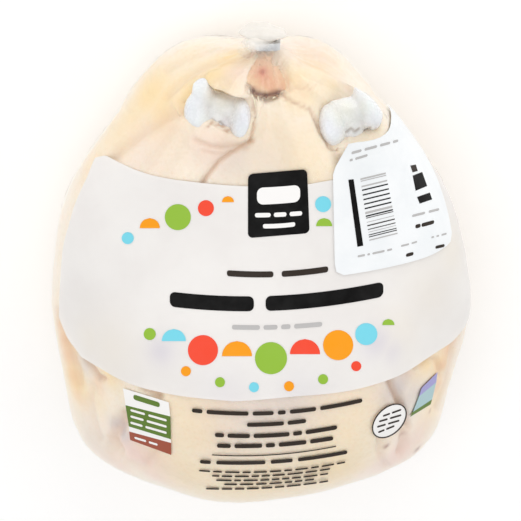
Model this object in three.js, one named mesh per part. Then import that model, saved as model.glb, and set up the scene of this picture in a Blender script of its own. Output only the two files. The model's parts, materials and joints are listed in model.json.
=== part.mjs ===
// A whole raw chicken in a clear shrink bag, lying on its back with the breast up.
// Millimetres. In the view from above +X is to the right and +Y, from the neck end to the gathered
// and clipped end of the bag, is up the page. +Z is up through the breast.
// The bird is a smooth union of rounded muscles. The bag is a film that is relaxed over it until it
// is taut, so it follows the drumsticks, breast and wings, and bridges the valleys between them.
import * as THREE from "three";
import { mergeVertices } from "three/addons/utils/BufferGeometryUtils.js";

// Bird
const blend = 10; // how softly one muscle runs into the next
const bird = {
  back: { kind: "egg", at: [-2, -12, 46], radii: [88, 96, 47] },
  crop: { kind: "egg", at: [-9, -72, 70], radii: [60, 47, 42] },
  rumpRight: { kind: "egg", at: [16, 38, 36], radii: [41.5, 63, 36] },
  rumpLeft: { kind: "egg", at: [-23, 37, 36], radii: [47.5, 64, 36] },
  breastRight: { kind: "egg", at: [24, -42, 70], radii: [54, 68, 46], pitch: -8 },
  breastLeft: { kind: "egg", at: [-28, -42, 70], radii: [54, 68, 46], pitch: -8 },
  keel: { kind: "limb", from: [-2, -56, 92], to: [4, 66, 68], thick: 26, thin: 18 },
  tail: { kind: "limb", from: [2, 76, 52], to: [1, 93, 60], thick: 13, thin: 7 },
  thighRight: { kind: "egg", at: [55, -3, 43], radii: [39, 60, 38], turn: 9 },
  thighLeft: { kind: "egg", at: [-59, 0, 43], radii: [39, 62, 38], turn: -7 },
  flankRight: { kind: "limb", from: [59, 26, 48], to: [51, 61, 53], thick: 17, thin: 13 },
  shankRight: { kind: "limb", from: [63, 2, 62], to: [38, 73, 72], thick: 23, thin: 13 },
  shankLeft: { kind: "limb", from: [-68, 8, 62], to: [-25, 77, 72], thick: 23, thin: 13 },
  wingRight: { kind: "limb", from: [76, -28, 50], to: [65, -84, 60], thick: 24.5, thin: 19.5 },
  wingLeft: { kind: "limb", from: [-78, -28, 50], to: [-72, -86, 60], thick: 24, thin: 20 },
  wristRight: { kind: "limb", from: [69, -89, 56], to: [50, -96, 74], thick: 19, thin: 12 },
  wristLeft: { kind: "limb", from: [-76, -90, 56], to: [-56, -98, 74], thick: 19, thin: 12 },
};

// Ends of the two shin bones: a pulley of two lobes, cut at the hock
const hocks = [
  { side: "Right", at: [39, 81, 75], across: [0.93, 0.3, 0.22] },
  { side: "Left", at: [-21, 84, 75], across: [0.95, -0.16, 0.27] },
];
const hockLobe = { radius: 11, halfWidth: 7, spacing: 17, waist: 8.5, blend: 4 };

// Bag
const filmGap = 0.6;
const flatAt = 4; // the back is pressed flat at this height
const rings = 52;
const spokes = 76;
const relaxing = 420; // passes that pull the film taut
const smoothing = 6; // passes that even out the facets at the end
const neckEnd = [-4, -112, 66];
const neck = { at: [2, 108.2, 66], radius: 3, length: 4.4 };
const pleats = { count: 19, depth: 1.3, share: 0.16, reach: 9 }; // folds that run into the neck
const tuft = {
  length: 5.7,
  halfWidth: 10.2,
  halfHeight: 8.6,
  lean: 4, // to the left
  tilt: 0.8,
  ruffles: 7,
  ruffleDepth: 0.06,
  widest: 0.45, // share of the length at which it is widest
  steps: 8,
};

// Clip crimped round the neck
const clip = { length: 3.6, wall: 1.2, gap: 0.4, corner: 2.4, bevel: 0.4 };

// Price label, a sheet bent round the right-hand drumstick
const label = {
  width: 65,
  height: 59,
  corner: 4,
  cut: [7, 13], // the upper corners are cut off by this much
  thick: 0.5,
  lift: 0.8,
  line: [43.4, 45], // x and z of the line that it is bent round
  middle: [20.4, 42.6], // round the film from the top of that line, and along Y
  turn: 1,
  sections: 22,
  edgePoints: 60,
  layers: 9,
};

const degrees = Math.PI / 180;
const vector = (p) => new THREE.Vector3(...p);

// Distance from a point to a stretched ball, which may be turned about Z and pitched about X.
function egg({ at, radii, turn = 0, pitch = 0 }) {
  const centre = vector(at);
  const undo = new THREE.Quaternion()
    .setFromEuler(new THREE.Euler(pitch * degrees, 0, turn * degrees, "ZXY"))
    .invert();
  const [a, b, c] = radii;
  const q = new THREE.Vector3();
  return (p) => {
    q.copy(p).sub(centre).applyQuaternion(undo);
    const inner = Math.hypot(q.x / a, q.y / b, q.z / c);
    const slope = Math.hypot(q.x / (a * a), q.y / (b * b), q.z / (c * c));
    return slope < 1e-9 ? -Math.min(a, b, c) : (inner * (inner - 1)) / slope;
  };
}

// Distance from a point to a limb: a ball that shrinks from thick to thin on its way along a line.
function limb({ from, to, thick, thin }) {
  const start = vector(from);
  const along = vector(to).sub(start);
  const lengthSq = along.lengthSq();
  const q = new THREE.Vector3();
  return (p) => {
    q.copy(p).sub(start);
    const share = THREE.MathUtils.clamp(q.dot(along) / lengthSq, 0, 1);
    return q.addScaledVector(along, -share).length() - THREE.MathUtils.lerp(thick, thin, share);
  };
}

// The lesser of two distances, rounded off where they are alike.
function softMin(a, b, softness) {
  const alike = Math.max(softness - Math.abs(a - b), 0) / softness;
  return Math.min(a, b) - (alike * alike * softness) / 4;
}

// Distance to one end of a shin bone, two lobes on a waist.
function pulley({ at, across }) {
  const axis = vector(across).normalize();
  const centre = vector(at);
  const { radius, halfWidth, spacing, waist } = hockLobe;
  const q = new THREE.Vector3();
  return (p) => {
    q.copy(p).sub(centre);
    const along = q.dot(axis);
    const off = q.addScaledVector(axis, -along).length();
    const beside = Math.abs(along) - spacing / 2;
    const inner = Math.hypot(beside / halfWidth, off / radius);
    const slope = Math.hypot(beside / halfWidth ** 2, off / radius ** 2);
    const lobe = (inner * (inner - 1)) / Math.max(slope, 1e-6);
    const bar = Math.hypot(off, Math.max(beside, 0)) - waist;
    return softMin(lobe, bar, hockLobe.blend);
  };
}

const muscles = Object.values(bird).map((piece) => (piece.kind === "egg" ? egg : limb)(piece));
const shinEnds = hocks.map(pulley);

// Distance to the whole bird, with a soft fold where two muscles meet.
function distanceToBird(p) {
  let nearest = muscles[0](p);
  for (const muscle of muscles.slice(1)) nearest = softMin(nearest, muscle(p), blend);
  for (const shinEnd of shinEnds) nearest = softMin(nearest, shinEnd(p), hockLobe.blend);
  return nearest;
}

const probe = new THREE.Vector3();
const nudge = 0.3;

// Moves a point of the film out of the bird, the shortest way, and up to the flat of the back.
function pushOut(p) {
  const d = distanceToBird(p);
  if (d < filmGap) {
    const away = new THREE.Vector3(
      distanceToBird(probe.copy(p).setX(p.x + nudge)) - d,
      distanceToBird(probe.copy(p).setY(p.y + nudge)) - d,
      distanceToBird(probe.copy(p).setZ(p.z + nudge)) - d,
    ).normalize();
    p.addScaledVector(away, filmGap - d);
  }
  if (p.z < flatAt) p.z = flatAt;
}

// The film starts as a loose sleeve from the neck end of the bird to the gathered neck of the bag.
function looseSleeve() {
  const grid = [];
  const loose = { halfWidth: 124, halfHeight: 84, middle: 60 };
  for (let i = 0; i <= rings; i++) {
    const share = i / rings;
    const swell = Math.sin(Math.PI * share) ** 0.42;
    const ring = [];
    for (let j = 0; j < spokes; j++) {
      const angle = (2 * Math.PI * j) / spokes;
      const x = THREE.MathUtils.lerp(neckEnd[0], neck.at[0], share);
      const y = THREE.MathUtils.lerp(neckEnd[1] - 6, neck.at[1], share);
      const wide = Math.max(loose.halfWidth * swell, i ? neck.radius : 0);
      const high = Math.max(loose.halfHeight * swell, i ? neck.radius : 0);
      ring.push(
        new THREE.Vector3(x + wide * Math.sin(angle), y, loose.middle + high * Math.cos(angle)),
      );
    }
    grid.push(ring);
  }
  return grid;
}

// Ring of film at the neck, where it is gathered into pleats.
function neckRing(y, radius) {
  const ring = [];
  for (let j = 0; j < spokes; j++) {
    const angle = (2 * Math.PI * j) / spokes;
    ring.push(
      new THREE.Vector3(
        neck.at[0] + radius * Math.sin(angle),
        y,
        neck.at[2] + radius * Math.cos(angle),
      ),
    );
  }
  return ring;
}

// Pulls the sleeve taut: each point goes to the middle of its neighbours, then out of the bird.
function tautFilm() {
  const grid = looseSleeve();
  grid[rings] = neckRing(neck.at[1], neck.radius);
  const middle = new THREE.Vector3();
  for (let pass = 0; pass < relaxing; pass++) {
    for (let i = 1; i < rings; i++) {
      for (let j = 0; j < spokes; j++) {
        const left = grid[i][(j + spokes - 1) % spokes];
        const right = grid[i][(j + 1) % spokes];
        middle.copy(left).add(right).add(grid[i - 1][j]).add(grid[i + 1][j]).multiplyScalar(0.25);
        grid[i][j].lerp(middle, 0.9);
        pushOut(grid[i][j]);
      }
    }
    middle.set(0, 0, 0);
    grid[1].forEach((p) => middle.add(p));
    middle.divideScalar(spokes);
    pushOut(middle);
    grid[0].forEach((p) => p.copy(middle));
  }
  return grid;
}

// Evens out the facets, with the film free to move a little.
function evenOut(grid) {
  for (let pass = 0; pass < smoothing; pass++) {
    const before = grid.map((ring) => ring.map((p) => p.clone()));
    for (let i = 1; i < rings; i++) {
      for (let j = 0; j < spokes; j++) {
        const p = grid[i][j].multiplyScalar(0.5);
        p.addScaledVector(before[i][(j + spokes - 1) % spokes], 0.125);
        p.addScaledVector(before[i][(j + 1) % spokes], 0.125);
        p.addScaledVector(before[i - 1][j], 0.125).addScaledVector(before[i + 1][j], 0.125);
      }
    }
  }
}

// Folds in the film that deepen towards the neck.
function addPleats(grid) {
  const hub = vector(neck.at);
  for (let i = rings - pleats.reach; i <= rings; i++) {
    const share = (i - rings + pleats.reach) / pleats.reach;
    for (let j = 0; j < spokes; j++) {
      const p = grid[i][j];
      const out = p.clone().sub(hub).setY(0);
      const room = Math.min(pleats.depth, out.length() * pleats.share);
      const wave = 0.5 + 0.5 * Math.sin((pleats.count * 2 * Math.PI * j) / spokes);
      p.addScaledVector(out.normalize(), wave * room * share);
    }
  }
}

// Rings past the neck: a short throat under the clip, then a soft dome of spare film.
function tuftRings() {
  const made = [neckRing(neck.at[1] + neck.length, neck.radius)];
  for (let i = 1; i <= tuft.steps; i++) {
    const share = i / tuft.steps;
    const opening = Math.sin((Math.PI / 2) * Math.min(share / tuft.widest, 1));
    const past = Math.max(share - tuft.widest, 0) / (1 - tuft.widest);
    const closing = Math.sqrt(1 - 0.8 * past ** 2);
    const ring = [];
    for (let j = 0; j < spokes; j++) {
      const angle = (2 * Math.PI * j) / spokes;
      const fold = 1 + tuft.ruffleDepth * opening * Math.sin(tuft.ruffles * angle);
      const wide = THREE.MathUtils.lerp(neck.radius, tuft.halfWidth, opening) * fold * closing;
      const high = THREE.MathUtils.lerp(neck.radius, tuft.halfHeight, opening) * fold * closing;
      const lift = tuft.tilt * share * Math.sin(2 * angle + 1);
      ring.push(
        new THREE.Vector3(
          neck.at[0] - tuft.lean * share + wide * Math.sin(angle),
          neck.at[1] + neck.length + tuft.length * share + lift,
          neck.at[2] + high * Math.cos(angle),
        ),
      );
    }
    made.push(ring);
  }
  return made;
}

// A closed solid from rings of equally many points, shut at both ends by a fan.
function solidFromRings(allRings) {
  const positions = [];
  const faces = [];
  const count = allRings[0].length;
  allRings.forEach((ring) => ring.forEach((p) => positions.push(p.x, p.y, p.z)));
  for (let i = 0; i + 1 < allRings.length; i++) {
    for (let j = 0; j < count; j++) {
      const a = i * count + j;
      const b = i * count + ((j + 1) % count);
      faces.push(a, b, b + count, a, b + count, a + count);
    }
  }
  const cap = (ring, first, flip) => {
    const middle = new THREE.Vector3();
    ring.forEach((p) => middle.add(p));
    middle.divideScalar(count);
    const hub = positions.length / 3;
    positions.push(middle.x, middle.y, middle.z);
    for (let j = 0; j < count; j++) {
      const a = first + j;
      const b = first + ((j + 1) % count);
      faces.push(...(flip ? [hub, a, b] : [hub, b, a]));
    }
  };
  cap(allRings[0], 0, false);
  cap(allRings.at(-1), (allRings.length - 1) * count, true);
  const geometry = new THREE.BufferGeometry();
  geometry.setAttribute("position", new THREE.Float32BufferAttribute(positions, 3));
  geometry.setIndex(faces);
  return geometry;
}

// Drops the faces that collapse where a ring is a single point.
function withoutCollapsedFaces(geometry) {
  const merged = mergeVertices(geometry, 1e-3);
  const old = merged.index.array;
  const kept = [];
  for (let i = 0; i < old.length; i += 3) {
    const [a, b, c] = [old[i], old[i + 1], old[i + 2]];
    if (a !== b && b !== c && a !== c) kept.push(a, b, c);
  }
  merged.setIndex(kept);
  merged.computeVertexNormals();
  return merged;
}

const film = tautFilm();
evenOut(film);
addPleats(film);
const bagGeometry = withoutCollapsedFaces(solidFromRings([...film.slice(1), ...tuftRings()]));

// A rounded rectangle as a closed outline.
function roundedOutline(width, height, corner) {
  const [x, y] = [width / 2, height / 2];
  return new THREE.Shape()
    .moveTo(-x + corner, -y)
    .lineTo(x - corner, -y)
    .absarc(x - corner, -y + corner, corner, -Math.PI / 2, 0)
    .lineTo(x, y - corner)
    .absarc(x - corner, y - corner, corner, 0, Math.PI / 2)
    .lineTo(-x + corner, y)
    .absarc(-x + corner, y - corner, corner, Math.PI / 2, Math.PI)
    .lineTo(-x, -y + corner)
    .absarc(-x + corner, -y + corner, corner, Math.PI, 1.5 * Math.PI);
}

// The clip is a flat metal ring, crimped round the pleated neck.
function clipGeometry() {
  const hole = neck.radius * (1 + pleats.share) + clip.gap;
  const across = 2 * (hole + clip.wall);
  const outline = roundedOutline(across + 1, across, clip.corner);
  outline.holes.push(new THREE.Path().absarc(0, 0, hole, 0, 2 * Math.PI, true));
  const geometry = new THREE.ExtrudeGeometry(outline, {
    depth: clip.length - 2 * clip.bevel,
    bevelThickness: clip.bevel,
    bevelSize: clip.bevel,
    bevelOffset: -clip.bevel,
    bevelSegments: 2,
    curveSegments: 6,
  });
  geometry.translate(0, 0, clip.bevel - clip.length / 2);
  geometry.rotateX(-Math.PI / 2);
  geometry.translate(neck.at[0], neck.at[1] + neck.length / 2, neck.at[2]);
  return geometry;
}

// Where the film lies, seen from a line inside the bag that runs along Y: for each cross-section,
// points round it with the length of film from the top of the line to the point.
function filmSections() {
  const mesh = new THREE.Mesh(bagGeometry, new THREE.MeshBasicMaterial({ side: THREE.DoubleSide }));
  const ray = new THREE.Raycaster();
  const sections = [];
  for (let k = 0; k < label.sections; k++) {
    const y = label.middle[1] + (k / (label.sections - 1) - 0.5) * label.height * 1.25;
    const line = new THREE.Vector3(label.line[0], y, label.line[1]);
    const points = [];
    for (let angle = -60; angle <= 125; angle += 5) {
      const out = new THREE.Vector3(Math.sin(angle * degrees), 0, Math.cos(angle * degrees));
      ray.set(line, out);
      const { point } = ray.intersectObject(mesh).at(-1);
      const length = points.length ? points.at(-1).length + point.distanceTo(points.at(-1).point) : 0;
      points.push({ angle, out, point, length });
    }
    const top = points.find((p) => p.angle === 0).length;
    points.forEach((p) => (p.length -= top));
    sections.push({ y, points });
  }
  return sections;
}

// The label's lower corners are rounded, and its upper ones cut off.
function labelOutline() {
  const { width, height, corner, cut } = label;
  const [x, y] = [width / 2, height / 2];
  return new THREE.Shape()
    .moveTo(-x + corner, -y)
    .lineTo(x - corner, -y)
    .absarc(x - corner, -y + corner, corner, -Math.PI / 2, 0)
    .lineTo(x, y - cut[1])
    .lineTo(x - cut[0], y)
    .lineTo(-x + cut[0], y)
    .lineTo(-x, y - cut[1])
    .lineTo(-x, -y + corner)
    .absarc(-x + corner, -y + corner, corner, Math.PI, 1.5 * Math.PI);
}

// The label is a sheet of paper bent round the drumstick, and true to length across it.
function labelGeometry() {
  const sections = filmSections();
  const along = ({ points }, across, lift) => {
    const i = Math.max(points.findIndex((p) => p.length > across), 1);
    const [a, b] = [points[i - 1], points[i]];
    const share = (across - a.length) / (b.length - a.length);
    const out = a.out.clone().lerp(b.out, share).normalize();
    return a.point.clone().lerp(b.point, share).addScaledVector(out, lift);
  };
  const wrap = (p, lift) => {
    const turned = p.clone().rotateAround(new THREE.Vector2(), label.turn * degrees);
    const across = label.middle[0] + turned.x;
    const y = label.middle[1] + turned.y;
    const k = sections.findIndex((section) => section.y > y);
    const share = (y - sections[k - 1].y) / (sections[k].y - sections[k - 1].y);
    return along(sections[k - 1], across, lift).lerp(along(sections[k], across, lift), share);
  };
  const edge = labelOutline().getSpacedPoints(label.edgePoints).slice(0, -1);
  const layers = [];
  for (let k = 0; k < label.layers; k++) {
    const shrink = 1 - k / (label.layers - 0.5);
    layers.push(edge.map((p) => p.clone().multiplyScalar(shrink)));
  }
  const under = layers.map((ring) => ring.map((p) => wrap(p, label.lift)));
  const over = layers.map((ring) => ring.map((p) => wrap(p, label.lift + label.thick)));
  return solidFromRings([...under.reverse(), ...over]);
}

const materials = {
  film: { color: 0xf6e6cf, roughness: 0.35, metalness: 0 },
  aluminium: { color: 0xc9cbcd, roughness: 0.35, metalness: 0.9 },
  paper: { color: 0xf6f8f9, roughness: 0.6, metalness: 0 },
};

function sub(name, geometry, material) {
  const mesh = new THREE.Mesh(geometry, new THREE.MeshStandardMaterial(materials[material]));
  mesh.name = name;
  return mesh;
}

const chicken = new THREE.Group();
chicken.add(sub("bagged_chicken", bagGeometry, "film"));
chicken.add(sub("bag_clip", clipGeometry(), "aluminium"));
chicken.add(sub("price_label", labelGeometry(), "paper"));

// The origin is on the table, under the middle of the whole.
const box = new THREE.Box3().setFromObject(chicken);
const middle = box.getCenter(new THREE.Vector3());
chicken.position.set(-middle.x, -middle.y, -box.min.z);

export default chicken;
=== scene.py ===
import json
import math
import random

import bpy
import numpy as np
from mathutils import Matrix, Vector, noise
from mathutils.bvhtree import BVHTree

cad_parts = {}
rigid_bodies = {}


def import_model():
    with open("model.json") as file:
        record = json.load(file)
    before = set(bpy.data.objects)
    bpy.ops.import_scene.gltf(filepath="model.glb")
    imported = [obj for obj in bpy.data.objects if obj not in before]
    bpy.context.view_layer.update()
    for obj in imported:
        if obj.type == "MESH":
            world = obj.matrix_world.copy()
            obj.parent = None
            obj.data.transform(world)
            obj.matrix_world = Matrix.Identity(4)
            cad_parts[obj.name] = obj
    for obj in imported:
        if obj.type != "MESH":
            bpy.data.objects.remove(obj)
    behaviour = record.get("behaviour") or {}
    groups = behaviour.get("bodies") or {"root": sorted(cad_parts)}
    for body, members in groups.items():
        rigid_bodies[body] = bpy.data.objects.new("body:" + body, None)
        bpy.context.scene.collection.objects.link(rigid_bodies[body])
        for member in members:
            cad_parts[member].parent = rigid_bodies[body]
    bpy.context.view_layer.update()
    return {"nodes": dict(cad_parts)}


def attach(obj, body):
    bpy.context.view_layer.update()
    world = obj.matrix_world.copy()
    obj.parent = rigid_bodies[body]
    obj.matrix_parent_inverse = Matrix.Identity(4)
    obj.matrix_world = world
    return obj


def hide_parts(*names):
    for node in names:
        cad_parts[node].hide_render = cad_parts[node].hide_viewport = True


# A whole raw chicken in a clear shrink bag, lying on its back with the breast up.
# +Y runs from the neck end to the gathered and clipped end of the bag. Sizes are in millimetres.

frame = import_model()

mm = 0.001
random.seed(7)


def rgb(red, green, blue):
    parts = []
    for value in (red, green, blue):
        share = value / 255
        parts.append(share / 12.92 if share < 0.04045 else ((share + 0.055) / 1.055) ** 2.4)
    return (*parts, 1)


def deselectAll():
    bpy.ops.object.select_all(action="DESELECT")


def workOn(piece):
    deselectAll()
    piece.select_set(True)
    bpy.context.view_layer.objects.active = piece


def applyModifier(piece, kind, **settings):
    workOn(piece)
    modifier = piece.modifiers.new(kind.title(), kind)
    for key, value in settings.items():
        setattr(modifier, key, value)
    bpy.ops.object.modifier_apply(modifier=modifier.name)


# Puts a piece's place into its mesh and names it
def settle(piece, name):
    workOn(piece)
    bpy.ops.object.transform_apply(location=True, rotation=True, scale=True)
    piece.name = name
    piece.data.name = name
    return piece


def join(pieces, name):
    deselectAll()
    for piece in pieces:
        piece.select_set(True)
    bpy.context.view_layer.objects.active = pieces[0]
    bpy.ops.object.join()
    return settle(bpy.context.object, name)


# Fuses pieces that overlap into one closed mesh
def fuse(pieces, name, voxel, softening):
    piece = join(pieces, name)
    applyModifier(piece, "REMESH", mode="VOXEL", voxel_size=voxel * mm)
    applyModifier(piece, "SMOOTH", factor=0.5, iterations=softening)
    return piece


def readPoints(piece):
    values = np.empty(len(piece.data.vertices) * 3)
    piece.data.vertices.foreach_get("co", values)
    return values.reshape(-1, 3) / mm


def readNormals(piece):
    return np.array([v.normal for v in piece.data.vertices])


def writePoints(piece, points):
    piece.data.vertices.foreach_set("co", (points * mm).ravel())
    piece.data.update()


# A mask with one value for each vertex, for the materials to read
def writeMask(piece, name, values):
    layer = piece.data.attributes.new(name, "FLOAT", "POINT")
    layer.data.foreach_set("value", np.clip(values, 0, 1).astype(np.float32))


def fadeOut(distance, reach):
    return np.exp(-((distance / reach) ** 2))


# Goes from 0 to 1 while a value goes from one number to another
def ramp(value, start, end):
    return min(1, max(0, (value - start) / (end - start)))


# Soft noise at a point, for lumps of a size
def noiseAt(point, size, shift=(0, 0, 0)):
    return noise.noise(Vector(point / np.array(size) + np.array(shift)))


# Camera, set to the view of the photograph
shot = {
    "tilt": 27.182,  # degrees off straight down, towards the neck end
    "target": (0.01, 1.073, 57.449),
    "distance": 1108.5,
    "lens": 166.13,
    "dotsPerMm": 2.169,  # at the target, in a picture 521 wide
    "middle": 260.5,
}

shotTilt = math.radians(shot["tilt"])
shotUp = np.array([0, math.cos(shotTilt), -math.sin(shotTilt)])
shotBack = np.array([0, math.sin(shotTilt), math.cos(shotTilt)])
shotEye = np.array(shot["target"]) + shotBack * shot["distance"]

deselectAll()
bpy.ops.object.camera_add(location=tuple(shotEye * mm), rotation=(-shotTilt, 0, 0))
camera = bpy.context.object
camera.name = "camera"
camera.data.sensor_width = 36
camera.data.lens = shot["lens"]
camera.data.clip_end = 20
bpy.context.scene.camera = camera


# Where points lie in the picture, and how a spot of the picture is looked at
def inPicture(points):
    off = points - shotEye
    size = shot["dotsPerMm"] * shot["distance"] / -(off @ shotBack)
    across = shot["middle"] + off[:, 0] * size
    down = shot["middle"] - (off @ shotUp) * size
    return np.stack([across, down], axis=1)


def lookAt(across, down):
    step = 1 / shot["dotsPerMm"]
    aim = np.array(shot["target"]) + shotUp * (shot["middle"] - down) * step
    aim[0] += (across - shot["middle"]) * step
    away = aim - shotEye
    return Vector(away / np.linalg.norm(away))


# Film: the taut bag with its gathered neck
filmShape = {
    "fineness": 2,
    "neck": (3.12, 108.34, 62),
    "pleats": {
        "count": 13,
        "depth": 0.25,
        "reach": 18,
        "end": 90,  # none farther from the neck than this
        "fadeIn": 9,
        "sway": 7,
        "swaySize": (14, 40, 14),
        "under": 38,  # deepest and longest from this height down
        "deeper": 3.2,
        "longer": 1.2,
    },
    "ripple": {"depth": 0.1, "size": (16, 9, 12), "above": 3},
    "creases": {  # taut ones, round the neck end and low on the sides
        "height": 0.7,
        "sharp": 5,
        "size": (46, 46, 13),
        "bend": 1.4,
        "bendSize": 60,
        "fromTop": (52, 26),  # they grow between these heights
        "fromFloor": (4, 12),
    },
    "tuftFrom": 112.8,
    "tuftFade": 2,
    "softening": 5,
    "softReach": 17,  # round the neck, on the bird's side of the clip
    "clipFrom": 107,
}


def copyNode(node, name):
    workOn(frame["nodes"][node])
    bpy.ops.object.duplicate()
    piece = bpy.context.object
    bpy.ops.object.parent_clear(type="CLEAR_KEEP_TRANSFORM")
    for key in list(piece.keys()):
        del piece[key]
    piece.data.materials.clear()
    bpy.ops.object.mode_set(mode="EDIT")
    bpy.ops.mesh.select_all(action="SELECT")
    bpy.ops.mesh.remove_doubles(threshold=0.000002)
    bpy.ops.mesh.tris_convert_to_quads()
    bpy.ops.mesh.normals_make_consistent(inside=False)
    bpy.ops.object.mode_set(mode="OBJECT")
    if piece.data.has_custom_normals:
        bpy.ops.mesh.customdata_custom_splitnormals_clear()
    return settle(piece, name)


film = copyNode("bagged_chicken", "shrink_film")
applyModifier(film, "SUBSURF", levels=filmShape["fineness"], render_levels=filmShape["fineness"])


def wrinkleFilm():
    pleats, ripple, creases = filmShape["pleats"], filmShape["ripple"], filmShape["creases"]
    points = readPoints(film)
    off = points - np.array(filmShape["neck"])
    angle = np.arctan2(off[:, 0], off[:, 2])
    reach = np.linalg.norm(off, axis=1)
    push = np.zeros(len(points))
    for i, p in enumerate(points):
        if reach[i] < pleats["end"] and p[1] < filmShape["tuftFrom"]:
            wave = math.sin(angle[i] * pleats["count"] + pleats["sway"] * noiseAt(p, pleats["swaySize"]))
            under = ramp(p[2], filmShape["neck"][2], pleats["under"])
            length = pleats["reach"] * (1 + pleats["longer"] * under)
            depth = pleats["depth"] * (1 + pleats["deeper"] * under) * fadeOut(reach[i], length)
            push[i] += depth * (1 - abs(wave)) * min(1, reach[i] / pleats["fadeIn"])
        push[i] += ripple["depth"] * noiseAt(p, ripple["size"]) * (p[2] > ripple["above"])
        low = ramp(p[2], *creases["fromTop"]) * ramp(p[2], *creases["fromFloor"])
        bend = creases["bend"] * noiseAt(p, creases["bendSize"])
        ridge = 1 - creases["sharp"] * abs(noiseAt(p, creases["size"], (bend, -bend, 0)))
        push[i] += creases["height"] * low * max(0, ridge) ** 2
    writePoints(film, points + readNormals(film) * push[:, None])


# Softens the spare film past the clip, and the pleats that run into it
def softenNeck():
    group = film.vertex_groups.new(name="gathered")
    for i, p in enumerate(readPoints(film)):
        share = min(1, (p[1] - filmShape["tuftFrom"]) / filmShape["tuftFade"])
        if p[1] < filmShape["clipFrom"]:
            share = fadeOut(np.linalg.norm(p - np.array(filmShape["neck"])), filmShape["softReach"])
        if share > 0.02:
            group.add([i], share, "REPLACE")
    applyModifier(film, "SMOOTH", factor=0.5, iterations=filmShape["softening"], vertex_group="gathered")
    film.vertex_groups.clear()


softenNeck()
wrinkleFilm()
workOn(film)
bpy.ops.object.shade_smooth()
filmTree = BVHTree.FromObject(film, bpy.context.evaluated_depsgraph_get())
print("film", len(film.data.polygons), "faces")


# The spot of the film, or of another surface, that the picture shows at a place
def onFilm(across, down, tree=filmTree):
    place, normal, _, _ = tree.ray_cast(Vector(shotEye * mm), lookAt(across, down))
    return np.array(place) / mm, np.array(normal)


# Bird: rounded muscles that are fused, then folded and creased. Their places are the source's own.
zero = Vector((1.12, 0.14, -4))  # where the source's zero lies in the frame
bird = {
    "back": {"at": (-2, -12, 46), "radii": (88, 96, 47)},
    "crop": {"at": (-9, -72, 70), "radii": (60, 47, 42)},
    "rumpRight": {"at": (16, 38, 36), "radii": (41.5, 63, 36)},
    "rumpLeft": {"at": (-23, 37, 36), "radii": (47.5, 64, 36)},
    "breastRight": {"at": (24, -42, 70), "radii": (54, 68, 46), "pitch": -8},
    "breastLeft": {"at": (-28, -42, 70), "radii": (54, 68, 46), "pitch": -8},
    "breastTip": {"from": (4.5, 60, 70), "to": (3.4, 78.6, 71), "thick": 17, "thin": 8.5},
    "thighRight": {"at": (55, -3, 43), "radii": (39, 60, 38), "turn": 9},
    "thighLeft": {"at": (-59, 0, 43), "radii": (39, 62, 38), "turn": -7},
    "keel": {"from": (-2, -56, 92), "to": (4, 66, 68), "thick": 26, "thin": 18},
    "flankRight": {"from": (59, 26, 48), "to": (51, 61, 53), "thick": 17, "thin": 13},
    "shankRight": {"from": (63, 2, 62), "to": (38.5, 57.5, 70), "thick": 23, "thin": 12.5},
    "shankLeft": {"from": (-68, 8, 62), "to": (-23.5, 65, 71), "thick": 23, "thin": 13.5},
    "wingRight": {"from": (76, -28, 50), "to": (65, -84, 60), "thick": 24.5, "thin": 19.5},
    "wingLeft": {"from": (-78, -28, 50), "to": (-72, -86, 60), "thick": 24, "thin": 20},
    "wristRight": {"from": (69, -89, 56), "to": (50, -96, 74), "thick": 19, "thin": 13},
    "wristLeft": {"from": (-76, -90, 56), "to": (-56, -98, 74), "thick": 19, "thin": 13},
    "tail": {"from": (2, 72, 50), "to": (1.2, 97, 57), "thick": 13, "thin": 6.5},
    "besideVentLeft": {"from": (-12, 66, 58), "to": (-8, 92, 60), "thick": 15, "thin": 9},
    "besideVentRight": {"from": (20, 64, 58), "to": (13, 92, 60), "thick": 16, "thin": 9},
}
birdMake = {
    "voxel": 1.28,
    "softening": 11,
    "swellFrom": 19,  # where the film lies nearer than this, the skin is pressed out towards it
    "swellFull": 11,
    # But not at the hocks and the vent: places in the picture, and reach
    "swellNot": [
        (215, 113, 9), (350, 115, 9.5), (264, 67, 6.5), (266, 80, 8), (277, 73, 6.5), (264, 90, 6),
    ],
    "filmGap": 0.4,
    "floorGap": 0.7,
}


def addEgg(at, radii, turn=0, pitch=0):
    deselectAll()
    bpy.ops.mesh.primitive_uv_sphere_add(
        segments=48,
        ring_count=24,
        radius=mm,
        location=(Vector(at) + zero) * mm,
        rotation=(math.radians(pitch), 0, math.radians(turn)),
        scale=radii,
    )
    return bpy.context.object


# A limb is a cone with a ball at each end
def addLimb(start, end, thick, thin):
    start = Vector(start)
    along = Vector(end) - start
    ends = [addEgg(start, (thick,) * 3), addEgg(start + along, (thin,) * 3)]
    deselectAll()
    bpy.ops.mesh.primitive_cone_add(
        vertices=48,
        radius1=thick * mm,
        radius2=thin * mm,
        depth=along.length * mm,
        location=(start + along / 2 + zero) * mm,
        rotation=along.to_track_quat("Z", "Y").to_euler(),
    )
    return ends + [bpy.context.object]


# Skin that is drawn back in a roll round each cut shin
cuffs = {
    "right": {"at": (38.6, 63.5, 70.5), "along": (-0.25, 0.95, 0.13), "ring": 12, "roll": 2.5},
    "left": {"at": (-22, 70, 71.5), "along": (0.4, 0.9, 0.13), "ring": 12.4, "roll": 2.8},
}

# Edges of skin that lie just under the film: places in the picture, and half their thickness
flaps = {
    "ventLeft": {"path": [(251, 58), (244, 67), (237, 78), (235, 89)], "half": 3.4},
    "hockLeft": {"path": [(214, 76), (226, 80), (237, 86)], "half": 4.6},
}


# The middle of a ball that lies just under the film at a place in the picture
def underSpot(across, down, half):
    place, normal = onFilm(across, down)
    return Vector(place - normal * (half + birdMake["filmGap"])) - zero


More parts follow.
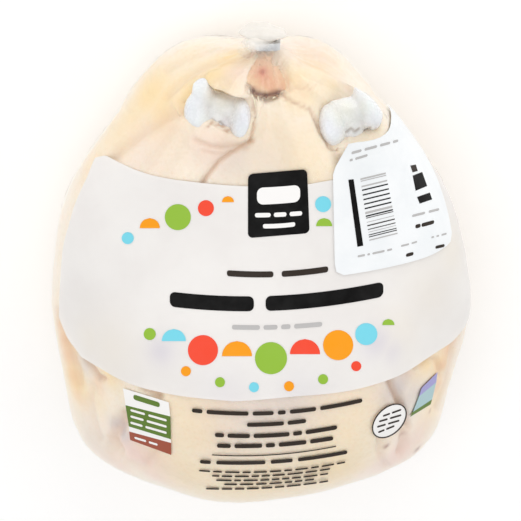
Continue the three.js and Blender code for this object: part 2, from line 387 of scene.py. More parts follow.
# Limbs from each middle to the next
def addChain(middles, thick, thin):
    pieces = []
    for start, end in zip(middles, middles[1:]):
        pieces += addLimb(start, end, thick, thin)
    return pieces


def makeBird():
    pieces = []
    for part in bird.values():
        if "radii" in part:
            pieces.append(addEgg(**part))
        else:
            pieces += addLimb(part["from"], part["to"], part["thick"], part["thin"])
    for cuff in cuffs.values():
        deselectAll()
        bpy.ops.mesh.primitive_torus_add(
            major_segments=64,
            minor_segments=16,
            major_radius=cuff["ring"] * mm,
            minor_radius=cuff["roll"] * mm,
            location=(Vector(cuff["at"]) + zero) * mm,
            rotation=Vector(cuff["along"]).to_track_quat("Z", "Y").to_euler(),
        )
        pieces.append(bpy.context.object)
    for flap in flaps.values():
        half = flap["half"]
        pieces += addChain([underSpot(*spot, half) for spot in flap["path"]], half, half)
    return fuse(pieces, "bird_skin", birdMake["voxel"], birdMake["softening"])


# How deep points lie under the film, and the film's outward direction there
def underFilm(points):
    depths = np.empty(len(points))
    outs = np.empty((len(points), 3))
    for i, p in enumerate(points):
        place, normal, _, _ = filmTree.find_nearest(Vector(p * mm))
        outs[i] = normal
        depths[i] = np.dot(np.array(place) / mm - p, normal)
    return depths, outs


def swellToFilm(piece, start, full, gap, spared=()):
    points = readPoints(piece)
    depths, outs = underFilm(points)
    share = np.clip((start - depths) / (start - full), 0, 1)
    share = share**2 * (3 - 2 * share)
    for across, down, reach in spared:
        share *= 1 - fadeOut(np.linalg.norm(points - onFilm(across, down)[0], axis=1), reach)
    writePoints(piece, points + outs * ((depths - gap) * share)[:, None])
    applyModifier(piece, "SMOOTH", factor=0.5, iterations=3)


skin = makeBird()
swellToFilm(skin, birdMake["swellFrom"], birdMake["swellFull"], birdMake["filmGap"], birdMake["swellNot"])
print("bird", len(skin.data.polygons), "faces")

# Folds that the picture shows: places along each, its width and depth, and how dark the painted shade
# along it is
folds = {
    "legLeftInside": ([(253, 141), (244, 145), (233, 152), (219, 161), (206, 177), (196, 194)],
                      1.1, 2.2, 0.75),
    "hockLeftEdge": ([(252, 98), (254, 112), (254, 128), (250, 142)], 0.8, 1.8, 0.6),
    "legLeftOutside": ([(186, 108), (165, 118), (140, 134), (118, 152), (102, 170)], 2.8, 2, 0.25),
    "ankleFoldA": ([(195, 140), (208, 146), (222, 148), (238, 145)], 1.2, 1.2, 0.4),
    "ankleFoldB": ([(203, 151), (217, 154), (230, 152)], 1.2, 0.9, 0.3),
    "hockLeftUnder": ([(207, 128), (212.5, 121), (216, 126), (221, 123), (227, 131)], 0.6, 0.9, 1),
    "hockRightUnder": ([(345, 137), (350, 131), (355, 136), (360, 131), (366, 134)], 0.8, 0.8, 0.9),
    "slit": ([(249, 88), (256, 95), (267, 98), (279, 94)], 1.6, 2.2, 0.4),
    "legRightInside": ([(279, 93), (294, 103), (310, 110), (316, 120), (321, 132), (328, 145),
                        (336, 151)], 0.9, 1.7, 0.6),
    "legRightLow": ([(334, 149), (342, 163), (348, 180), (352, 200)], 2.6, 2, 0.25),
    "ventRight": ([(269, 52), (279, 64), (286, 76), (288, 88)], 1.3, 1, 0.45),
    "ventSide": ([(286, 91), (297, 88), (312, 90)], 1, 0.8, 0.3),
    "ventLeft": ([(261, 58), (255, 65), (250, 75), (248, 87)], 0.8, 1, 0.25),
    "pinch": ([(244, 54), (250, 54), (257, 51)], 1, 1.4, 0.9),
    "rumpRightA": ([(302, 60), (322, 66), (340, 77), (354, 92)], 2.4, 1.3, 0.22),
    "rumpRightB": ([(292, 53), (314, 55), (336, 64)], 2.4, 1, 0.12),
    "rumpLeftA": ([(246, 58), (226, 60), (205, 66), (186, 78), (168, 96)], 2.4, 1.5, 0.25),
    "rumpLeftB": ([(240, 50), (214, 50), (188, 58), (166, 70)], 2.4, 1.2, 0.16),
    "wingLeftEdge": ([(57, 312), (64, 334), (70, 350), (76, 366), (80, 384)], 2.4, 1.6, 0.3),
    "wingLeftTop": ([(84, 358), (91, 366), (98, 376), (104, 379)], 1.3, 1.8, 0.8),
    "wingLeftBack": ([(92, 386), (90, 400), (93, 420), (101, 438)], 2, 1.6, 0.22),
    "wingLeftFold": ([(144, 387), (151, 390), (159, 396)], 1.8, 2.6, 0.7),
    "wingLeftPit": ([(124, 416), (119, 428), (112, 439), (117, 450)], 2.8, 3, 0.4),
    "wingLeftTip": ([(112, 446), (126, 462), (143, 470), (152, 458), (160, 446)], 2.4, 1.6, 0.15),
    "wingRightFold": ([(388, 374), (391, 384), (396, 394), (400, 404), (405, 416), (408, 427)],
                      1.7, 3, 0.65),
    "wingRightEdge": ([(460, 328), (455, 346), (451, 364), (447, 384), (438, 408)], 2.4, 1.8, 0.35),
    "wingRightTop": ([(416, 366), (427, 358), (437, 360), (441, 374)], 1.8, 2, 0.3),
    "wingRightTip": ([(382, 438), (380, 452), (385, 466)], 2.2, 2, 0.25),
    "wingRightPit": ([(403, 430), (404, 442), (400, 452)], 2, 2.4, 0.45),
}

# Patches of other colour, and grey patches of painted shade: places, reach in millimetres, strength
patches = {
    "fat": [
        (205, 74, 11, 0.95), (185, 86, 11, 0.95), (165, 104, 12, 0.8), (226, 60, 8, 0.9),
        (244, 56, 6, 0.6), (225, 82, 7, 0.5), (150, 95, 12, 0.7), (120, 128, 14, 0.4), (135, 112, 12, 0.5),
        (320, 66, 9, 0.55), (342, 82, 9, 0.5), (95, 160, 12, 0.3), (190, 60, 9, 0.3), (185, 430, 20, 0.3),
        (350, 96, 8, 0.6), (372, 112, 8, 0.7), (296, 80, 8, 0.5), (300, 94, 8, 0.4), (345, 114, 4, 0.5),
        (68, 340, 8, 0.8), (74, 380, 9, 0.8), (90, 352, 8, 0.5), (108, 372, 7, 0.6), (440, 366, 8, 0.7),
        (428, 362, 7, 0.7), (446, 340, 9, 0.6), (438, 400, 9, 0.5), (418, 372, 6, 0.4),
        (268, 150, 16, 0.3), (300, 160, 14, 0.35), (330, 470, 20, 0.35), (250, 490, 30, 0.3),
        (205, 330, 30, 0.2), (180, 470, 22, 0.25), (95, 398, 9, 0.35), (340, 430, 20, 0.3),
    ],
    "tan": [
        (58, 325, 5, 0.7), (63, 342, 5, 0.9), (67, 356, 5, 0.8), (72, 378, 5, 0.6), (78, 396, 5, 0.4),
        (456, 330, 4, 0.7), (450, 350, 4, 0.9), (443, 366, 4, 0.8), (438, 386, 4, 0.7), (356, 138, 3, 0.9),
        (97, 384, 4, 0.5), (408, 372, 4, 0.4), (224, 148, 6, 0.3),
    ],
    "pink": [
        (205, 148, 8, 0.45), (165, 128, 12, 0.3), (238, 74, 7, 0.5), (216, 84, 6, 0.3), (282, 44, 8, 0.4),
        (312, 48, 9, 0.4), (135, 455, 12, 0.95), (150, 474, 9, 0.6), (116, 464, 8, 0.5),
        (398, 455, 11, 0.9), (380, 466, 9, 0.6), (415, 440, 9, 0.6), (300, 88, 5, 0.2),
        (145, 150, 14, 0.3), (110, 190, 16, 0.3), (250, 405, 22, 0.25), (330, 340, 22, 0.4),
        (420, 300, 22, 0.4),
    ],
    # Painted shade in hollows, creases and the wing pits
    "grey": [
        (262, 158, 13, 0.35), (238, 162, 10, 0.4), (398, 388, 9, 0.65), (410, 400, 9, 0.5),
        (119, 431, 5, 0.9), (405, 418, 6, 0.5), (158, 350, 8, 0.9), (374, 341, 8, 0.9), (389, 351, 7, 0.6),
        (92, 440, 9, 0.25), (256, 412, 18, 0.3), (130, 340, 14, 0.3), (84, 362, 6, 0.5),
        (290, 400, 14, 0.4),
    ],
    "blood_and_shade": [
        (404, 437, 2, 0.9), (403, 430, 1.3, 0.8), (387, 447, 1.4, 0.8), (418, 450, 1.8, 0.7),
        (353, 137, 1.6, 0.5), (245, 146, 1.6, 0.35), (250, 53, 1.4, 0.8), (98, 377, 1.4, 0.8),
        (90, 409, 0.9, 0.7), (431, 411, 0.9, 0.6), (113, 439, 1.3, 0.5),
    ],
}


# The neck end, which the picture doesn't show: neck skin drawn under the back, and the folded wings.
# Places are millimetres across and up, seen from that end.
neckEnd = {
    # Each fold as above, with how dark the painted shade along it is
    "folds": {
        "drawnA": ([(-47, 40), (-36, 33), (-24, 23), (-16, 11)], 2.4, 1.8, 0.3),
        "drawnB": ([(-31, 62), (-26, 47), (-17, 32), (-11, 16), (-9, 6)], 1.9, 1.7, 0.35),
        "drawnC": ([(-9, 46), (-6, 31), (-2, 17), (-1, 6)], 1.5, 1.4, 0.3),
        "drawnD": ([(13, 71), (10, 55), (11, 38), (8, 20), (6, 7)], 2, 1.8, 0.35),
        "drawnE": ([(29, 43), (22, 31), (17, 18), (13, 8)], 1.5, 1.3, 0.25),
        "drawnF": ([(52, 47), (42, 38), (30, 26), (22, 13)], 2.4, 1.8, 0.3),
        "wingLeftLow": ([(-84, 58), (-70, 50), (-57, 46), (-47, 50), (-41, 61)], 2.4, 2.2, 0.4),
        "wingLeftTop": ([(-62, 76), (-56, 66), (-47, 60)], 2.2, 1.5, 0.25),
        "wingRightLow": ([(86, 52), (73, 43), (60, 42), (51, 50), (46, 64), (47, 77)], 2.4, 2.2, 0.4),
        "wingRightTop": ([(76, 66), (66, 61), (57, 64)], 2, 1.4, 0.25),
    },
    "patches": {
        "fat": [(-20, 44, 14, 0.6), (20, 50, 12, 0.5), (2, 24, 12, 0.5), (-66, 58, 9, 0.5),
                (68, 52, 9, 0.5)],
        "tan": [(-52, 47, 5, 0.5), (55, 45, 5, 0.5), (-14, 22, 6, 0.35), (12, 14, 6, 0.4)],
        "pink": [(0, 58, 13, 0.35), (28, 30, 12, 0.6), (-36, 22, 11, 0.6), (58, 56, 9, 0.6),
                 (-58, 62, 9, 0.6)],
        # Painted shade beside the folds
        "grey": [(-29, 50, 6, 0.35), (10, 44, 6, 0.35), (-50, 52, 5, 0.5), (49, 58, 5, 0.5)],
        "blood_and_shade": [(19, 28, 1.3, 0.5), (-33, 36, 1.2, 0.4)],
    },
    "taper": 8,  # how far from its ends a fold is shallow
}


def distanceToPath(spots, path, dots=shot["dotsPerMm"]):
    nearest = np.full(len(spots), 1e9)
    for start, end in zip(path, path[1:]):
        start = np.array(start, float)
        along = np.array(end, float) - start
        share = np.clip(((spots - start) @ along) / (along @ along), 0, 1)
        gap = np.linalg.norm(spots - start - share[:, None] * along, axis=1)
        nearest = np.minimum(nearest, gap)
    return nearest / dots


foldShape = {
    "lip": 0.28,  # height of the rim beside a fold, as a share of its depth
    "lipAt": 2.1,
    "shadeWide": 0.75,
    "shade": 0.8,
    "facing": 4,  # a fold is full where the skin faces its view, and fades as the skin turns away
}


# Presses the folds into the skin, and gives back the painted shade along them
def foldSkin():
    points = readPoints(skin)
    normals = readNormals(skin)
    seen = [(fold, inPicture(points), shotBack, shot["dotsPerMm"], 0) for fold in folds.values()]
    seen += [(fold, points[:, [0, 2]], np.array([0, -1, 0]), 1, neckEnd["taper"])
             for fold in neckEnd["folds"].values()]
    push = np.zeros(len(points))
    shade = np.zeros(len(points))
    for (path, wide, deep, dark), spots, towards, dots, taper in seen:
        facing = np.clip((normals @ towards) * foldShape["facing"], 0, 1)
        if taper:
            for end in (path[0], path[-1]):
                facing *= 1 - fadeOut(np.linalg.norm(spots - np.array(end), axis=1), taper)
        gap = distanceToPath(spots, path, dots)
        push -= deep * fadeOut(gap, wide) * facing
        push += foldShape["lip"] * deep * fadeOut(gap - foldShape["lipAt"] * wide, wide) * facing
        shade = np.maximum(shade, dark * fadeOut(gap, foldShape["shadeWide"] * wide) * facing)
    writePoints(skin, points + normals * push[:, None])
    return shade * foldShape["shade"]


# Loose skin: long soft wrinkles, and slack round the underside
looseSkin = {
    "waves": 0.9,
    "waveSize": (26, 34, 26),
    "creaseSize": (14, 26, 14),
    "creaseWide": 0.16,
    "creaseDeep": 2.5,
    "deeperLow": 3,
    "low": (62, 37),  # the creases deepen between these heights
}


def wrinkleSkin():
    points = readPoints(skin)
    push = np.zeros(len(points))
    for i, p in enumerate(points):
        slow = noiseAt(p, looseSkin["waveSize"])
        ridge = abs(noiseAt(p, looseSkin["creaseSize"], (slow, 0, 3)))
        depth = looseSkin["creaseDeep"] + looseSkin["deeperLow"] * ramp(p[2], *looseSkin["low"])
        push[i] = looseSkin["waves"] * slow - depth * max(0, looseSkin["creaseWide"] - ridge)
    writePoints(skin, points + readNormals(skin) * push[:, None])


# Keeps a piece under the film
def keepInside(piece, gap):
    points = readPoints(piece)
    depths, outs = underFilm(points)
    points += outs * np.minimum(0, depths - gap)[:, None]
    points[:, 2] = np.maximum(points[:, 2], birdMake["floorGap"])
    writePoints(piece, points)


wrinkleSkin()
foldShade = foldSkin()
applyModifier(skin, "SMOOTH", factor=0.4, iterations=2)
keepInside(skin, birdMake["filmGap"])
# The fold mask: painted shade along the folds
writeMask(skin, "fold", foldShade)


# The spot of the film at the neck end, at a place across and up
def onNeckEnd(across, up):
    start = Vector((across, -300, up)) * mm
    return np.array(filmTree.ray_cast(start, Vector((0, 1, 0)))[0]) / mm


spotSpread = 1.25  # spots fade out a little past their reach


# A mask of soft spots: place in the picture, reach in millimetres, strength
def paintSpots(piece, name, spots, endSpots=()):
    points = readPoints(piece)
    shade = np.zeros(len(points))
    middles = [(onFilm(across, down)[0], reach, strength) for across, down, reach, strength in spots]
    middles += [(onNeckEnd(across, up), reach, strength) for across, up, reach, strength in endSpots]
    for middle, reach, strength in middles:
        gap = np.linalg.norm(points - middle, axis=1)
        shade = np.maximum(shade, strength * fadeOut(gap, reach * spotSpread))
    writeMask(piece, name, shade)


for name, spots in patches.items():
    paintSpots(skin, name, spots, neckEnd["patches"][name])
workOn(skin)
bpy.ops.object.shade_smooth()
print("skin folded")

# Cut shin bones with their gristle: two lobes on a waist, and a horn on the outer lobe.
# Places are spots in the picture, with the depth behind the film along the view. Lobes also have
# their radii and turn.
# Each hock's dark paths are grooves in the gap under its waist, with painted shade along them
hocks = {
    "left": {
        "lobes": [((198, 113), 8.8, (6.2, 9.2, 9), 4), ((203, 96), 7, (4.9, 8.6, 6.4), 8),
                  ((240.5, 120), 8.8, (4.9, 10.2, 9.2), -3)],
        "waist": [(204, 104), (238, 109)],
        "shin": ((217, 131), 14.2),
        "waistColour": (221, 107),
        "tissue": [(224, 90, 5.5, 0.9)],
        "dark": [[(209, 126), (212.5, 120), (216, 124), (220.5, 122), (225.5, 128)]],
    },
    "right": {
        "lobes": [((332.5, 125), 8.8, (5.9, 9.8, 9), 12), ((363, 98), 8.6, (4.4, 7.4, 6), 14),
                  ((369.5, 110), 10.2, (5.7, 9.2, 8.6), 14)],
        "waist": [(338, 114.5), (366, 108.5)],
        "shin": ((351, 140), 18),
        "waistColour": (352, 113),
        "tissue": [(345, 98, 5, 0.7)],
        "dark": [[(347, 132), (351, 128.5), (355, 132), (359, 129)], [(365, 131), (370, 128)]],
    },
}
hockShape = {
    "voxel": 0.7,
    "softening": 12,
    "waistHalf": 6.6,
    "waistDepth": 12.4,
    "waistReach": 6,
    "shinHalf": (7.6, 6.08),
    "filmGap": 0.25,
    "lumps": (6, 3),
    "lumpHeight": 0.12,
    "dark": 0.6,
    "darkWide": 0.65,
    "darkDeep": 0.5,
}


# The point at a depth behind the film, on the line of sight
def behindSpot(spot, depth):
    return Vector(onFilm(*spot)[0]) + lookAt(*spot) * depth - zero


def makeHock(side, hock):
    pieces = [addEgg(behindSpot(spot, depth), radii, turn) for spot, depth, radii, turn in hock["lobes"]]
    first, last = [behindSpot(spot, hockShape["waistDepth"]) for spot in hock["waist"]]
    pieces += addLimb(first, last, hockShape["waistHalf"], hockShape["waistHalf"])
    pieces += addLimb(behindSpot(*hock["shin"]), (first + last) / 2, *hockShape["shinHalf"])
    piece = fuse(pieces, "hock_" + side, hockShape["voxel"], hockShape["softening"])
    points = readPoints(piece)
    normals = readNormals(piece)
    for i, p in enumerate(points):
        lumps = sum(noiseAt(p, size) for size in hockShape["lumps"])
        points[i] += normals[i] * hockShape["lumpHeight"] * lumps
    spots = inPicture(points)
    dark = np.zeros(len(points))
    for path in hock["dark"]:
        dark = np.maximum(dark, fadeOut(distanceToPath(spots, path), hockShape["darkWide"]))
    writePoints(piece, points - normals * (hockShape["darkDeep"] * dark)[:, None])
    keepInside(piece, hockShape["filmGap"])
    # The waist's greenish tone, with painted shade of its recess
    paintSpots(piece, "waist", [(*hock["waistColour"], hockShape["waistReach"], 1)])
    paintSpots(piece, "tissue", hock["tissue"])
    # Painted shade along the dark paths, in a blood colour
    writeMask(piece, "blood_and_shade", hockShape["dark"] * dark)
    bpy.ops.object.shade_smooth()
    return piece


hockPieces = [makeHock(side, hock) for side, hock in hocks.items()]
print("hocks")

# Vent: red flesh that narrows towards the neck of the bag, over a slit with torn membrane, darkened by
# painted shade
vent = {
    # Both ends of each limb in the picture, and its radius there
    "limbs": [
        ((264, 57), (263, 66), 2, 3.6), ((263, 66), (264, 75), 3.6, 5.4), ((263, 75), (254, 87), 5.2, 4),
        ((265, 76), (275, 86), 5, 4), ((254, 89), (274, 89), 3.6, 3.6),
    ],
    "depth": 6,
    "swell": (9, 5.5, 0.45),  # from this depth, in full from this one, to this one
    "voxel": 0.5,
    "softening": 6,
    "slit": [(248, 88), (256, 93.5), (267, 96), (279, 93)],
    "slitWide": 1.7,
    "slitDeep": 1,
    "lumps": ((3.5, 0.15), (1.6, 0.08)),  # size and height
    "red": [(263, 71, 2.8, 0.6), (270, 77, 3, 0.22), (264, 63, 2.4, 0.3)],
    "blood_and_shade": [(263, 72, 1.1, 0.7), (266, 79, 0.5, 0.3)],
    "membrane": [
        [(252, 95), (254.5, 100), (255.5, 107)], [(258, 97), (258.5, 102)], [(273, 98), (277, 96)],
    ],
    "membraneHalf": (0.38, 0.266),
    "membraneDepth": 1.3,
    "membraneVoxel": 0.25,
    "membraneSoftening": 2,
}


def makeVent():
    pieces = []
    for start, end, thick, thin in vent["limbs"]:
        pieces += addLimb(behindSpot(start, vent["depth"]), behindSpot(end, vent["depth"]), thick, thin)
    piece = fuse(pieces, "vent_flesh", vent["voxel"], vent["softening"])
    swellToFilm(piece, *vent["swell"])
    points = readPoints(piece)
    slit = fadeOut(distanceToPath(inPicture(points), vent["slit"]), vent["slitWide"])
    push = -vent["slitDeep"] * slit
    for i, p in enumerate(points):
        push[i] += sum(height * noiseAt(p, size) for size, height in vent["lumps"])
    writePoints(piece, points + readNormals(piece) * push[:, None])
    keepInside(piece, birdMake["filmGap"])
    # Painted shade in the slit
    writeMask(piece, "slit", slit)
    paintSpots(piece, "red", vent["red"])
    paintSpots(piece, "blood_and_shade", vent["blood_and_shade"])
    bpy.ops.object.shade_smooth()
    return piece


def makeMembrane():
    pieces = []
    for path in vent["membrane"]:
        middles = [behindSpot(spot, vent["membraneDepth"]) for spot in path]
        pieces += addChain(middles, *vent["membraneHalf"])
    piece = fuse(pieces, "torn_membrane", vent["membraneVoxel"], vent["membraneSoftening"])
    keepInside(piece, hockShape["filmGap"])
    for name, value in (("waist", 0), ("tissue", 1), ("blood_and_shade", 0)):
        writeMask(piece, name, np.full(len(piece.data.vertices), value))
    bpy.ops.object.shade_smooth()
    return piece


ventFlesh = makeVent()
membrane = makeMembrane()
print("vent")

# A loose fold of film that lies over part of the clip
neckFold = {
    "at": (-3, 110.8, 72),
    "radii": (8, 5.6, 3.6),
    "turn": 12,
    "ripple": 0.15,
    "rippleSize": (3, 9, 4),
    "rippleSharp": 3,
    "milkyAt": (257, 41),  # milky round this spot of the picture, clear towards the rim
    "milkyReach": (17, 12),
    "milky": 1.5,
}


def makeNeckFold():
    piece = settle(addEgg(neckFold["at"], neckFold["radii"], neckFold["turn"]), "film_fold")
    applyModifier(piece, "SUBSURF", levels=1, render_levels=1)
    points = readPoints(piece)
    normals = readNormals(piece)
    for i, p in enumerate(points):
        crease = abs(noiseAt(p, neckFold["rippleSize"]))
        points[i] += normals[i] * neckFold["ripple"] * (1 - neckFold["rippleSharp"] * crease)
    writePoints(piece, points)
    off = (inPicture(points) - np.array(neckFold["milkyAt"])) / np.array(neckFold["milkyReach"])
    writeMask(piece, "bunched", neckFold["milky"] * (1 - np.linalg.norm(off, axis=1)))
    bpy.ops.object.shade_smooth()
    return piece


filmFold = makeNeckFold()


# Materials
def addNode(tree, kind, links=None, **settings):
    node = tree.nodes.new("ShaderNode" + kind)
    for key, value in settings.items():
        setattr(node, key, value)
    for socket, value in (links or {}).items():
        if isinstance(value, bpy.types.NodeSocket):
            tree.links.new(value, node.inputs[socket])
        else:
            node.inputs[socket].default_value = value
    return node


def addMath(tree, kind, *values):
    return addNode(tree, "Math", dict(enumerate(values)), operation=kind).outputs[0]


# Soft mottling and fine pores on Object coordinates, shared by all materials
def makeMottleGroup():
    tree = bpy.data.node_groups.new("mottle", "ShaderNodeTree")
    for name in ("Patch Size", "Pore Size", "Pore Depth"):
        tree.interface.new_socket(name=name, in_out="INPUT", socket_type="NodeSocketFloat")
    for name in ("Cloud", "Speck", "Height"):
        tree.interface.new_socket(name=name, in_out="OUTPUT", socket_type="NodeSocketFloat")
    given = tree.nodes.new("NodeGroupInput").outputs
    made = tree.nodes.new("NodeGroupOutput").inputs
    place = addNode(tree, "TexCoord").outputs["Object"]
    cloud = addNode(tree, "TexNoise", {"Vector": place, "Scale": given["Patch Size"], "Detail": 4,
                                       "Roughness": 0.6})
    soft = addNode(tree, "MapRange", {"Value": cloud.outputs["Fac"], "From Min": 0.32, "From Max": 0.7},
                   interpolation_type="SMOOTHSTEP")
    pores = addNode(tree, "TexVoronoi", {"Vector": place, "Scale": given["Pore Size"]})
    speck = addNode(tree, "MapRange", {"Value": pores.outputs["Distance"], "From Min": 0.1,
                                       "From Max": 0.55, "To Min": 1, "To Max": 0}).outputs["Result"]
    grain = addNode(tree, "TexNoise", {"Vector": place, "Scale": 420, "Detail": 3}).outputs["Fac"]
    tree.links.new(soft.outputs["Result"], made["Cloud"])
    tree.links.new(speck, made["Speck"])
    tree.links.new(addMath(tree, "MULTIPLY_ADD", speck, given["Pore Depth"], grain), made["Height"])
    return tree


mottle = makeMottleGroup()


def addMottle(tree, patch, pore, depth):
    group = addNode(tree, "Group", node_tree=mottle)
    for name, value in (("Patch Size", patch), ("Pore Size", pore), ("Pore Depth", depth)):
        group.inputs[name].default_value = value
    return group.outputs


def readMask(tree, name):
    return addNode(tree, "Attribute", attribute_name=name).outputs["Fac"]


def blendColour(tree, share, first, second):
    return addNode(tree, "Mix", {0: share, 6: first, 7: second}, data_type="RGBA").outputs[2]


def newMaterial(name):
    material = bpy.data.materials.new(name)
    material.use_nodes = True
    material.node_tree.nodes.clear()
    return material, material.node_tree


def linkSurface(tree, shader):
    tree.links.new(shader.outputs[0], addNode(tree, "OutputMaterial").inputs["Surface"])


# A material from its look: two mottled colours, coloured pores, and colours painted through masks.
# Roughness is one number, or goes between two with the mottling. More are the shader's other inputs.
def makeMaterial(name, look):
    material, tree = newMaterial(name)
    grain = addMottle(tree, *look["mottle"])
    colour = blendColour(tree, grain["Cloud"], *look["colours"])
    if "pores" in look:
        pores, share = look["pores"]
        colour = blendColour(tree, addMath(tree, "MULTIPLY", grain["Speck"], share), colour, pores)
    for spots, paint in look.get("masks", {}).items():
        colour = blendColour(tree, readMask(tree, spots), colour, paint)
    rough = look["rough"]
    if isinstance(rough, tuple):
        values = {"Value": grain[look.get("roughBy", "Cloud")], "To Min": rough[0], "To Max": rough[1]}
        rough = addNode(tree, "MapRange", values).outputs["Result"]
    strength, distance = look["bump"]
    bump = addNode(tree, "Bump", {"Height": grain["Height"], "Strength": strength, "Distance": distance})
    linkSurface(tree, addNode(tree, "BsdfPrincipled", {
        "Base Color": colour, "Roughness": rough, "Normal": bump.outputs["Normal"], **look.get("more", {}),
    }))
    return material


skinLook = {
    "mottle": (38, 520, 0.6),  # patches and pores for each metre, and the pores' depth
    "colours": (rgb(251, 236, 215), rgb(252, 240, 224)),
    "pores": (rgb(242, 218, 182), 0.25),
    "masks": {
        "fat": rgb(253, 219, 146),
        "tan": rgb(242, 196, 152),
        "pink": rgb(244, 212, 198),
        # grey: painted shade in hollows, creases and the wing pits
        "grey": rgb(202, 194, 198),
        "blood_and_shade": rgb(142, 66, 42),
        # fold: painted shade along the creases
        "fold": rgb(206, 158, 118),
    },
    "rough": (0.36, 0.5),
    "bump": (0.25, 0.0006),
    "more": {"Subsurface Weight": 0.12, "Subsurface Radius": (1.0, 0.45, 0.25), "Subsurface Scale": 0.003,
             "Specular IOR Level": 0.4},
}

# Wet gristle, bluish white; the waist is greenish, and darkened with painted shade where it lies back
# between the lobes
hockLook = {
    "mottle": (50, 700, 0.1),
    "colours": (rgb(239, 244, 244), rgb(234, 235, 243)),
    # The dark paths on the hocks are painted shade, in a blood colour
    "masks": {"waist": rgb(214, 213, 198), "tissue": rgb(250, 240, 208), "blood_and_shade": rgb(124, 98, 76)},
    "rough": (0.25, 0.4),
    "roughBy": "Speck",
    "bump": (0.04, 0.0003),
    "more": {"Subsurface Weight": 0.2, "Subsurface Radius": (0.8, 0.7, 0.7), "Subsurface Scale": 0.003},
}

fleshLook = {
    "mottle": (160, 1100, 0.35),
    "colours": (rgb(241, 208, 168), rgb(234, 182, 146)),
    # slit: painted shade in the slit
    "masks": {"red": rgb(230, 132, 106), "blood_and_shade": rgb(160, 70, 52), "slit": rgb(138, 98, 78)},
    "rough": (0.26, 0.38),
    "bump": (0.3, 0.0006),
    "more": {"Subsurface Weight": 0.15, "Subsurface Radius": (1.0, 0.4, 0.25), "Subsurface Scale": 0.002},
}

# White band of ink, thin enough that the bird tints it; its lilac tint is painted shade of the skin under
# it
panelLook = {
    "mottle": (26, 1500, 0.3),
    "colours": (rgb(255, 252, 249), rgb(250, 246, 243)),
    "masks": {"warm": rgb(255, 245, 226), "lilac_shade": rgb(226, 220, 232)},
    "rough": 0.4,
    "bump": (0.06, 0.0002),
    "more": {"Alpha": 0.8},
}

inkLook = {
    "mottle": (120, 1500, 0.3),
    "rough": 0.42,
    "bump": (0.06, 0.0002),
    "more": {"Specular IOR Level": 0.1},
    "paler": (0.992, 0.007),  # what the second colour multiplies by and adds
}

paperLook = {
    "mottle": (60, 2400, 0.5),
    "colours": (rgb(246, 248, 249), rgb(240, 243, 245)),
    "rough": 0.38,
    "bump": (0.08, 0.0002),
}

# Crimped aluminium
clipLook = {
    "mottle": (300, 1200, 0.4),
    "colours": (rgb(196, 198, 201), rgb(222, 223, 224)),
    "rough": (0.26, 0.42),
    "bump": (0.2, 0.0002),
    "more": {"Metallic": 0.9},
}

# Clear film: mostly see-through, glossier at a slant, milky where it is bunched
filmLook = {
    "mottle": (60, 300, 0.1),
    "haze": rgb(248, 243, 235),
    "clearHaze": 0.035,
    "tuftHaze": 0.72,
    "hazeOver": (-3, 1),  # along Y, round the start of the tuft
    "neckHaze": 0.3,
    "neckReach": 10,
    "glossAhead": 0.045,
    "glossAside": 0.65,
    "glossRise": 4,
}


def inkMaterial(name, colour):
    times, plus = inkLook["paler"]
    paler = tuple(min(1, value * times + plus) for value in colour[:3]) + (1,)
    return makeMaterial(name, {**inkLook, "colours": (colour, paler)})


def filmMaterial():
    material, tree = newMaterial("clear_film")
    grain = addMottle(tree, *filmLook["mottle"])
    slant = addNode(tree, "LayerWeight", {"Blend": 0.5}).outputs["Facing"]
    steep = addMath(tree, "POWER", slant, filmLook["glossRise"])
    gloss = addMath(tree, "MULTIPLY_ADD", steep, filmLook["glossAside"], filmLook["glossAhead"])
    bump = addNode(tree, "Bump", {"Height": grain["Height"], "Strength": 0.12, "Distance": 0.0004})
    clear = addNode(tree, "BsdfTransparent", {"Color": (1, 1, 1, 1)})
    mirror = addNode(tree, "BsdfAnisotropic", {"Color": (1, 1, 1, 1), "Roughness": 0.12,
                                               "Normal": bump.outputs["Normal"]})
    milky = addNode(tree, "BsdfPrincipled", {"Base Color": filmLook["haze"], "Roughness": 0.35})
    glossy = addNode(tree, "MixShader", {0: gloss, 1: clear.outputs[0], 2: mirror.outputs[0]})
    bunched = addMath(tree, "MULTIPLY", readMask(tree, "bunched"), filmLook["tuftHaze"])
    haze = addMath(tree, "MULTIPLY_ADD", grain["Cloud"], filmLook["clearHaze"], bunched)
    linkSurface(tree, addNode(tree, "MixShader", {0: haze, 1: glossy.outputs[0], 2: milky.outputs[0]}))
    return material


def dress(piece, material):
    piece.data.materials.clear()
    piece.data.materials.append(material)


def finish(piece, material):
    dress(piece, material)
    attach(piece, "root")


filmPoints = readPoints(film)
bunched = np.interp(filmPoints[:, 1] - filmShape["tuftFrom"], filmLook["hazeOver"], (0, 1))
toNeck = np.linalg.norm(filmPoints - np.array(filmShape["neck"]), axis=1)
nearNeck = filmLook["neckHaze"] * fadeOut(toNeck, filmLook["neckReach"])
writeMask(film, "bunched", np.maximum(bunched, nearNeck))

clearFilm = filmMaterial()
finish(film, clearFilm)
finish(filmFold, clearFilm)
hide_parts("bagged_chicken")
finish(skin, makeMaterial("raw_skin", skinLook))
finish(ventFlesh, makeMaterial("moist_flesh", fleshLook))
gristle = makeMaterial("wet_gristle", hockLook)
for piece in hockPieces + [membrane]:
    finish(piece, gristle)
print("materials")

